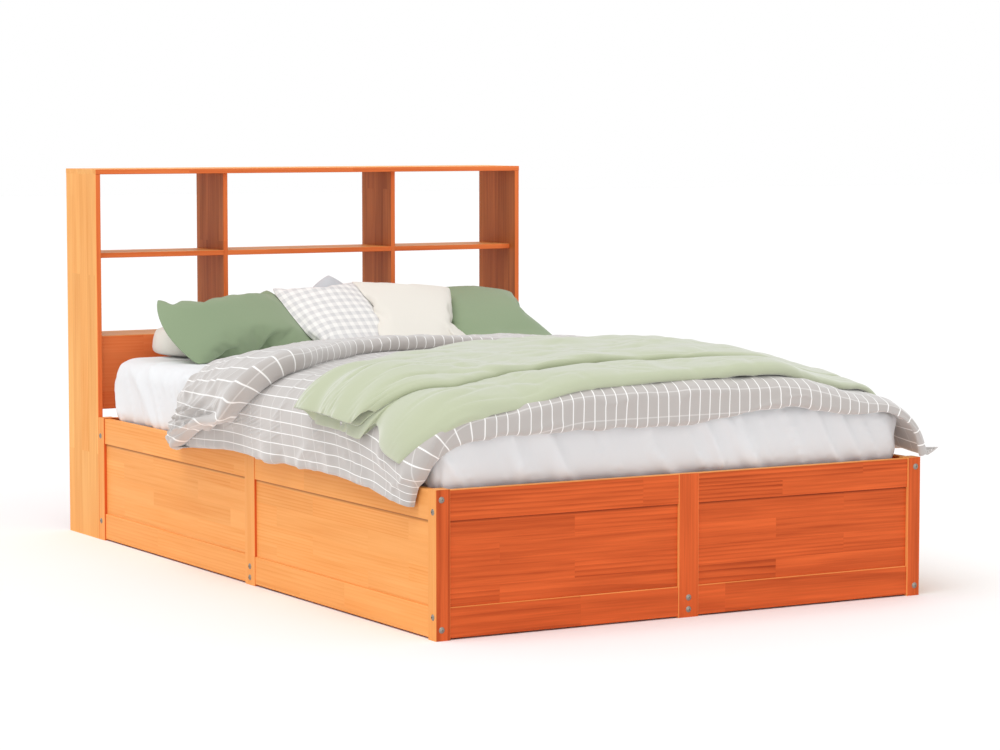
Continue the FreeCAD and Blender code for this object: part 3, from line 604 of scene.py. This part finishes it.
# Soft fibre ends catch the light, so the cover looks paler where it turns away.
check_across = 34 * mm
check_along = 62 * mm
check_line = 3.0 * mm
duvet_cotton, tree, shader, flat_place = cotton("cotton_windowpane_woven", 3 * mm, 0.9, 0.9)
flat_axes = add_node(tree, "ShaderNodeSeparateXYZ", links={0: flat_place}).outputs
line = None
for axis, spacing, strength in (("X", check_across, 1.0), ("Y", check_along, 0.32)):
    off = add_node(tree, "ShaderNodeMath", {1: spacing / 2}, {0: flat_axes[axis]}, operation="PINGPONG")
    own = add_node(tree, "ShaderNodeMapRange", {"From Min": 0.7 * check_line, "From Max": 0.3 * check_line},
                   {"Value": off.outputs[0]})
    faint = add_node(tree, "ShaderNodeMath", {1: strength}, {0: own.outputs[0]}, operation="MULTIPLY")
    line = faint.outputs[0] if line is None else add_node(
        tree, "ShaderNodeMath", links={0: line, 1: faint.outputs[0]}, operation="MAXIMUM").outputs[0]
colour = add_node(tree, "ShaderNodeMix", {6: linear("#BEB8B4"), 7: linear("#FFFEFC")}, {0: line},
                  data_type="RGBA")
tree.links.new(colour.outputs[2], shader.inputs["Base Color"])
duvet = add_piece("duvet_folded_back", mesh, duvet_cotton, ["duvet"])


# Throw: one padded sage blanket, hemmed and folded lengthwise three times, laid across the foot of
# the bed. The front fold runs on under the rear one, whose layers stay open at the left end. Rows
# are in mm from the foot, and the folds' sizes are those of the blanket's middle line.
def duvet_top(u, y):
    """Height of the duvet's upper side over the bed's line, in front of its fold."""
    thick, foot, fold, head = duvet_sizes(u)
    back = ramp(foot + roll_width - y, 0, roll_width)
    low = front_low_share * thick
    share = ramp(fold - y, 0, fold - foot - roll_width)
    return low + (thick - low) * np.sqrt(1 - back ** 2) + top_crown * np.sin(math.pi * share) + puff(u, y)


throw_ply = 9 * mm
throw_half = 820 * mm
throw_reach = (762 * mm, 800 * mm)
throw_ease = 40 * mm
throw_knots = np.array([-822, -772, -717, -662, -331, 0, 331, 662, 717, 772, 822]) * mm
throw_front = (230, 125, 16, 6, 20, 38, 48, 140, 190, 230, 260)
throw_crease = (310, 245, 172, 148, 195, 225, 226, 290, 330, 360, 380)
throw_rear = (650, 600, 490, 500, 760, 840, 870, 880, 870, 850, 830)
throw_loft_shares = (0.8, 0.9, 0.95, 1, 1, 1.1, 1.1, 0.42, 0.36, 0.34, 0.3)
lower_height = 5 * mm
lower_edge = 110 * mm
front_roll = 11 * mm
fold_crown = 7 * mm
crease_in = 20 * mm
crease_dip = 8 * mm
middle_height = 9 * mm
rear_roll = 16 * mm
rear_rise = 17 * mm
lip_in = 16 * mm
lip_roll = 12 * mm
lip_rise = 9 * mm
tuck_short = 64 * mm
tuck_fall = 4 * mm


def throw_path(u):
    """The blanket's middle line at each place across the bed, as y and height over the duvet, from
    its hidden lower edge round the front fold, back, round the rear fold, and in under the crease."""
    front, crease, rear = (smooth_row(u, throw_knots, row, throw_ease)
                           for row in (throw_front, throw_crease, throw_rear))
    front_top = lower_height + 2 * front_roll
    crease_height = front_top - crease_dip
    rear_top = middle_height + 2 * rear_rise
    fold_front, fold_rear = front + front_roll, rear - rear_roll
    rows = []
    t = steps(14)
    rows.append((crease + lower_edge + (fold_front - crease - lower_edge) * t, lower_height + 0 * t))
    a = np.radians(steps(9, 270, 90))
    rows.append((fold_front + front_roll * np.cos(a), lower_height + front_roll * (1 + np.sin(a))))
    t = steps(22)
    rows.append((fold_front + (crease + crease_in - fold_front) * t,
                 front_top - crease_dip * t ** 3 + fold_crown * np.sin(math.pi * t ** 1.2)))
    t = steps(26)
    rows.append((crease + crease_in + (fold_rear - crease - crease_in) * t,
                 middle_height + (crease_height - middle_height) * (1 - t) ** 2))
    a = np.radians(steps(9, 270, 450))
    rows.append((fold_rear + rear_roll * np.cos(a), middle_height + rear_rise * (1 + np.sin(a))))
    t = steps(44)
    rows.append((fold_rear + (crease + lip_in - fold_rear) * t, rear_top + fold_crown * np.sin(math.pi * t)))
    a = np.radians(steps(9, 90, 270))
    rows.append((crease + lip_in + lip_roll * np.cos(a), rear_top - lip_rise * (1 - np.sin(a))))
    t = np.linspace(0, 1, 30)[None, :]
    rows.append((crease + lip_in + (rear - tuck_short - crease - lip_in) * t,
                 rear_top - 2 * lip_rise - tuck_fall * t))
    y, height = (np.concatenate([row[k] + 0 * u for row in rows], axis=1) for k in (0, 1))
    return y, height, np.cumsum([0] + [row[0].shape[1] for row in rows])


lobe_from = 740 * mm
lobe_run = 80 * mm
lobe_flat_share = 0.72
gape_from = 700 * mm
gape_run = 120 * mm
gape_least = 4 * mm
gape_more = 20 * mm
gape_along = 300 * mm
layer_shift = 10 * mm
crease_shift = 24 * mm
crease_near = 34 * mm
shift_from = 500 * mm
shift_run = 320 * mm
rumple_from = 420 * mm
rumple_run = 300 * mm
rumple_share = 1.1
broad_swell = (210 * mm, 75 * mm)
small_swell = (80 * mm, 50 * mm)
broad_swell_share = 0.16
small_swell_share = 0.07
throw_pull_apart = (260 * mm, 44 * mm)
throw_pull_slant = 500 * mm
throw_pull_share = 0.12
hem_thin_share = 0.06
lying_room = 0.6 * mm
throw_u = throw_half * (2 * np.linspace(0, 1, 124)[:, None] - 1)
laid_u = throw_u / throw_half * by_side(throw_u, throw_reach)
y, height, parts = throw_path(laid_u)
in_front, middle_layer, top_layer = np.zeros((3, y.shape[1]))
in_front[:parts[3]] = 1
middle_layer[parts[3]:parts[4]] = 1
top_layer[parts[4]:parts[6]] = 1
behind_crease = y - smooth_row(laid_u, throw_knots, throw_crease, throw_ease)
lobe = ramp(-throw_u, lobe_from, lobe_run)
height = height * (1 - lobe_flat_share * lobe ** 2 * in_front)
height = height * np.interp(laid_u, throw_knots, throw_loft_shares)
gape = gape_least + gape_more * ramp(behind_crease, 0, gape_along)
height = height + ramp(-throw_u, gape_from, gape_run) * top_layer * gape
shift = layer_shift * (1 - in_front) * (1 - 1.6 * middle_layer)
shift = shift + crease_shift * np.exp(-(behind_crease / crease_near) ** 2)
u = laid_u + shift * ramp(-throw_u, shift_from, shift_run)
rumpled = 1 + rumple_share * ramp(-throw_u, rumple_from, rumple_run)
swell = soft_noise(u / broad_swell[0], y / broad_swell[1], 31) * broad_swell_share
swell = swell + soft_noise(u / small_swell[0], y / small_swell[1], 32) * small_swell_share * rumpled
pull = creases(u / throw_pull_apart[0] + y / throw_pull_slant, y / throw_pull_apart[1], 33, 0.2)
height = height * (1 + swell - pull * throw_pull_share * rumpled)
slope_y, slope_h = np.gradient(y, axis=1), np.gradient(height, axis=1)
norm = np.hypot(slope_y, slope_h)
hem, end = (np.minimum(np.arange(n), np.arange(n)[::-1]) / 2 for n in (y.shape[1], len(throw_u)))
ply = throw_ply / 2 * np.sqrt(np.clip(np.minimum(hem[None, :], end[:, None]), hem_thin_share, 1))
faces = []
for sign in (1, -1):
    face_y = y - sign * ply * slope_h / norm
    face_h = np.maximum(height + sign * ply * slope_y / norm, lying_room)
    faces.append(over_bed(u, face_y, duvet_top(u, np.clip(face_y, 0, None)) + face_h))
rings = np.concatenate([faces[0], faces[1][:, ::-1]], axis=1)
length = np.concatenate([0 * throw_u, np.cumsum(norm[:, :-1], axis=1)], axis=1)
throw_place = np.stack([u, length], axis=-1)
mesh = loft("throw_folded", rings, np.concatenate([throw_place, throw_place[:, ::-1]], axis=1), y.shape[1])
# Brushed cotton has a nap of loose fibres: a chalky sage that pales towards its edges.
throw_cloth, tree, shader, flat_place = cotton("cotton_brushed_sage", 3.5 * mm, 0.95, 0.9)
shader.inputs["Base Color"].default_value = linear("#BCC3A5")
throw = add_piece("throw_folded", mesh, throw_cloth, ["throw"])

# Pillows: two squares of cloth sewn round the edge and stuffed, so that the corners stay flat and
# pointed while the middle swells. Each cover is blown up from its flat pattern, then set down.
cover_step = 12 * mm
cover_start = 4 * mm
blown_frames = 20
pattern_bow_share = 0.15


def pillow_cover(name, bow, full, width, height, thick):
    """A sewn cover blown up by pressure and scaled to its stuffed size, lying flat. Its pattern's
    sides are bowed, and a low value of full stuffs it out to the seams."""
    nx, ny = round(width / cover_step), round(height / cover_step)
    gx, gy = np.meshgrid(np.linspace(-0.5, 0.5, nx + 1), np.linspace(-0.5, 0.5, ny + 1), indexing="ij")
    arch_x, arch_y = 1 - 4 * gx ** 2, 1 - 4 * gy ** 2
    upper = np.stack([gx * width * (1 + bow * arch_y), gy * height * (1 + bow * arch_x),
                      cover_start * arch_x * arch_y], axis=-1).reshape(-1, 3)
    seam = ((np.abs(gx) > 0.4999) | (np.abs(gy) > 0.4999)).ravel()
    lower_id = np.where(seam, np.arange(len(upper)), len(upper) + np.cumsum(~seam) - 1)
    points = np.concatenate([upper, upper[~seam] * (1, 1, -1)])
    index = np.arange(len(upper)).reshape(nx + 1, ny + 1)
    quads = np.stack([index[:-1, :-1], index[1:, :-1], index[1:, 1:], index[:-1, 1:]], axis=-1).reshape(-1, 4)
    mesh = bpy.data.meshes.new(name)
    mesh.from_pydata(points.tolist(), [], quads.tolist() + lower_id[quads[:, ::-1]].tolist())
    lay_flat(mesh, points[:, :2])
    shell = bpy.data.objects.new(name, mesh)
    scene = bpy.context.scene
    scene.collection.objects.link(shell)
    cloth = shell.modifiers.new("cloth", "CLOTH")
    settings = cloth.settings
    settings.quality = 6
    settings.mass = 0.12
    settings.tension_stiffness = 18
    settings.compression_stiffness = 12
    settings.shear_stiffness = 8
    settings.bending_stiffness = 0.25
    settings.use_pressure = True
    settings.uniform_pressure_force = 4
    settings.effector_weights.gravity = 0
    cloth.collision_settings.use_collision = False
    cloth.point_cache.frame_start = 1
    cloth.point_cache.frame_end = blown_frames
    for moment in range(1, blown_frames + 1):
        scene.frame_set(moment)
    blown = bpy.data.meshes.new_from_object(shell.evaluated_get(bpy.context.evaluated_depsgraph_get()))
    blown.name = name
    bpy.data.objects.remove(shell)
    bpy.data.meshes.remove(mesh)
    scene.frame_set(1)
    shape = np.zeros(len(blown.vertices) * 3)
    blown.vertices.foreach_get("co", shape)
    shape = shape.reshape(-1, 3)
    shape -= (shape.max(axis=0) + shape.min(axis=0)) / 2
    shape *= np.array((width, height, thick)) / (shape.max(axis=0) - shape.min(axis=0))
    shape[:, 2] = np.sign(shape[:, 2]) * thick / 2 * np.abs(2 * shape[:, 2] / thick) ** full
    return blown, shape


head_y = mattress_high.y + post_side
pillow_sink = 7 * mm
press_reach = 60 * mm
press_room = 1.5 * mm
sheet_room = 0.3 * mm


def skin_of(points, mesh):
    """A tree of a mesh's faces through the given points, to find the nearest place on them."""
    return BVHTree.FromPolygons(points, [list(face.vertices) for face in mesh.polygons])


set_down = [skin_of([v.co for v in duvet.data.vertices], duvet.data)]


def set_pillow(name, node, material, size, turns, across, back_gap, bow=pattern_bow_share, full=1.0):
    """Leans a pillow back, sets it down on the mattress and presses it clear of the duvet and of
    the pillows behind it. Sizes and places are in mm; turns are in its own plane, back, and round."""
    mesh, shape = pillow_cover(name, bow, full, *[s * mm for s in size])
    roll, lean, turn = (math.radians(t) for t in turns)
    pose = np.array(Euler((0, 0, turn)).to_matrix() @ Euler((lean, 0, 0)).to_matrix()
                    @ Euler((0, 0, roll)).to_matrix())
    shape = shape @ pose.T
    shape[:, 0] += across * mm
    shape[:, 1] += head_y - back_gap * mm - shape[:, 1].max()
    shape[:, 2] += bed_top - pillow_sink - shape[:, 2].min()
    for other in set_down:
        for i, point in enumerate(shape):
            near, normal, _, _ = other.find_nearest(Vector(point), press_reach)
            if near is not None and (Vector(point) - near).dot(normal) < press_room:
                shape[i] = near + normal * press_room
    shape[:, 2] = np.maximum(shape[:, 2], bed_top + sheet_room)
    mesh.vertices.foreach_set("co", shape.ravel())
    mesh.update()
    set_down.append(skin_of(shape.tolist(), mesh))
    mesh.materials.clear()
    add_piece(name, mesh, material, [node])


# Plain cotton is matt and even; linen has thicker threads and a dry look; gingham shows white, half
# and full grey squares where its dyed threads cross.
cream_cotton, tree, shader, flat_place = cotton("cotton_plain_cream", 3 * mm, 0.9, 0.15)
shader.inputs["Base Color"].default_value = linear("#E8E4DB")
pale_cotton, tree, shader, flat_place = cotton("cotton_plain_pale_grey", 3 * mm, 0.9, 0.15)
shader.inputs["Base Color"].default_value = linear("#D3D6DA")
green_linen, tree, shader, flat_place = cotton("linen_sage_green", 4 * mm, 0.95, 0.2)
shader.inputs["Base Color"].default_value = linear("#8D9F7E")
check_cotton, tree, shader, flat_place = cotton("cotton_gingham_grey", 3 * mm, 0.9, 0.15)
gingham = 28 * mm
stripe_edge = {"From Min": 0.22 * gingham, "From Max": 0.28 * gingham, "To Max": 0.5}
flat_axes = add_node(tree, "ShaderNodeSeparateXYZ", links={0: flat_place}).outputs
stripes = []
for axis in ("X", "Y"):
    off = add_node(tree, "ShaderNodeMath", {1: gingham / 2}, {0: flat_axes[axis]}, operation="PINGPONG")
    stripes.append(add_node(tree, "ShaderNodeMapRange", stripe_edge, {"Value": off.outputs[0]}).outputs[0])
both = add_node(tree, "ShaderNodeMath", links={0: stripes[0], 1: stripes[1]}, operation="ADD")
colour = add_node(tree, "ShaderNodeMix", {6: linear("#F6F4F1"), 7: linear("#D6D5D5")}, {0: both.outputs[0]},
                  data_type="RGBA")
tree.links.new(colour.outputs[2], shader.inputs["Base Color"])
set_pillow("sleeping_pillow", "back_pillows", cream_cotton, size=(460, 200, 108),
           turns=(0, 0, 0), across=-358, back_gap=4, bow=0.3, full=0.22)
set_pillow("pale_pillow", "back_pillows", pale_cotton, size=(208, 208, 56),
           turns=(45, 76, 0), across=26, back_gap=24, bow=0.22)
set_pillow("green_pillow_left_stuffed", "green_pillow_left", green_linen, size=(500, 292, 112),
           turns=(4, 39, 8), across=-388, back_gap=92, bow=0.14)
set_pillow("green_pillow_right_stuffed", "green_pillow_right", green_linen,
           size=(385, 410, 110), turns=(0, 23, -4), across=476, back_gap=8)
set_pillow("check_pillow_stuffed", "check_pillow", check_cotton, size=(322, 335, 90),
           turns=(3, 38, 3), across=-50, back_gap=96, bow=0.1)
set_pillow("cream_pillow_stuffed", "cream_pillow", cream_cotton, size=(345, 370, 90),
           turns=(-6, 34, -3), across=196, back_gap=104, bow=0.09)

# Floor, light and camera: a pale floor, an even white surround, a large soft lamp high on the left
# and a weak one from the front. The camera looks along the bed from its left foot corner, a little
# down.
floor_half = 40.0
floor_mesh = bpy.data.meshes.new("floor")
floor_corners = [(x * floor_half, y * floor_half, 0) for x, y in ((-1, -1), (1, -1), (1, 1), (-1, 1))]
floor_mesh.from_pydata(floor_corners, [], [(0, 1, 2, 3)])
floor_paint, tree, shader = new_material("floor_matt_white")
shader.inputs["Base Color"].default_value = linear("#FBFBFB")
shader.inputs["Roughness"].default_value = 0.9
floor_mesh.materials.append(floor_paint)
floor = bpy.data.objects.new("floor", floor_mesh)
bpy.context.scene.collection.objects.link(floor)

world = bpy.data.worlds.new("studio")
bpy.context.scene.world = world
world.use_nodes = True
tree = world.node_tree
surround = tree.nodes["Background"]
surround.inputs["Color"].default_value = (1, 1, 1, 1)
surround.inputs["Strength"].default_value = 0.66
backdrop = add_node(tree, "ShaderNodeBackground", {"Color": (1, 1, 1, 1), "Strength": 1.0})
path = add_node(tree, "ShaderNodeLightPath").outputs
seen = path["Is Camera Ray"]
for ray in ("Is Glossy Ray", "Is Transmission Ray"):
    seen = add_node(tree, "ShaderNodeMath", links={0: seen, 1: path[ray]}, operation="MAXIMUM").outputs[0]
mixed = add_node(tree, "ShaderNodeMixShader", links={0: seen, 1: surround.outputs[0], 2: backdrop.outputs[0]})
tree.links.new(mixed.outputs[0], tree.nodes["World Output"].inputs["Surface"])

for name, energy, spread, direction in (("softbox", 1.4, 50, (0.40, 0.10, -0.91)),
                                        ("fill", 0.35, 60, (0.10, 0.95, -0.25))):
    lamp = bpy.data.lights.new(name, "SUN")
    lamp.energy = energy
    lamp.angle = math.radians(spread)
    stand = bpy.data.objects.new(name, lamp)
    stand.rotation_euler = Vector(direction).to_track_quat("-Z", "Y").to_euler()
    bpy.context.scene.collection.objects.link(stand)

look_down = math.radians(4.762)
look_round = -0.52445
lens = bpy.data.cameras.new("camera")
lens.sensor_width = 36.0
lens.lens = 109.2
lens.clip_end = 200.0
camera = bpy.data.objects.new("camera", lens)
camera.location = (-4.1864, -7.4433, 1.2386)
camera.rotation_euler = Euler((math.pi / 2 - look_down, 0, look_round))
bpy.context.scene.collection.objects.link(camera)
bpy.context.scene.camera = camera
bpy.context.scene.view_settings.view_transform = "Standard"
